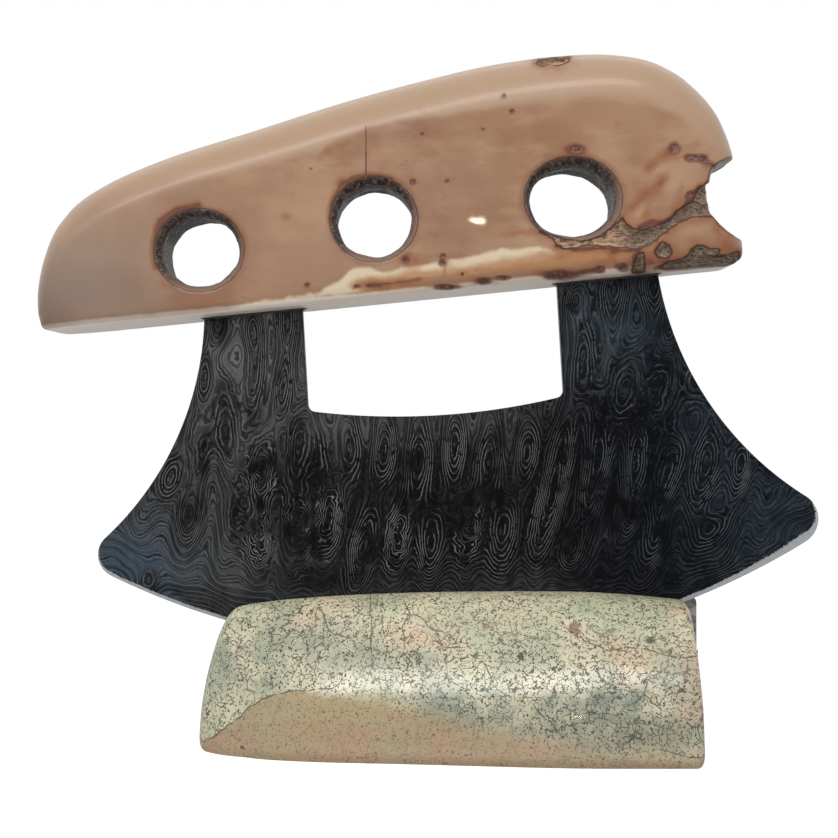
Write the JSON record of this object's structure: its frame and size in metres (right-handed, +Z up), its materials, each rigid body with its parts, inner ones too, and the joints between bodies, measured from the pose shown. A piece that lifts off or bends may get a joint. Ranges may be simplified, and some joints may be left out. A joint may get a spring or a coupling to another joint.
{
  "type": "ulu knife",
  "caption": "Ulu knife with a fan-shaped patterned steel blade on two tangs, a finger-holed ivory handle and a slotted half-round stand.",
  "frame": {"origin": "middle of the stand's length and depth, on its flat underside", "axes": "+X along the stand's slot and the cutting edge, towards the handle's broken end; -Y is the front face that the picture shows; +Z up"},
  "size_m": [0.1547, 0.048, 0.1374],
  "materials": {
    "polished_bone": "gloss",
    "pattern_steel": "satin",
    "fossil_ivory": "gloss",
    "set_glue": "satin"
  },
  "bodies": {
    "stand": {"stand_base": "polished_bone"},
    "knife": {"blade": "pattern_steel", "handle": "fossil_ivory", "tang_bond_left": "set_glue", "tang_bond_right": "set_glue"}
  },
  "joints": [
    {"name": "knife_lift", "type": "slide", "parent": "stand", "child": "knife", "axis": [0, 0, 1], "range_m": [0, 0.05]}
  ]
}
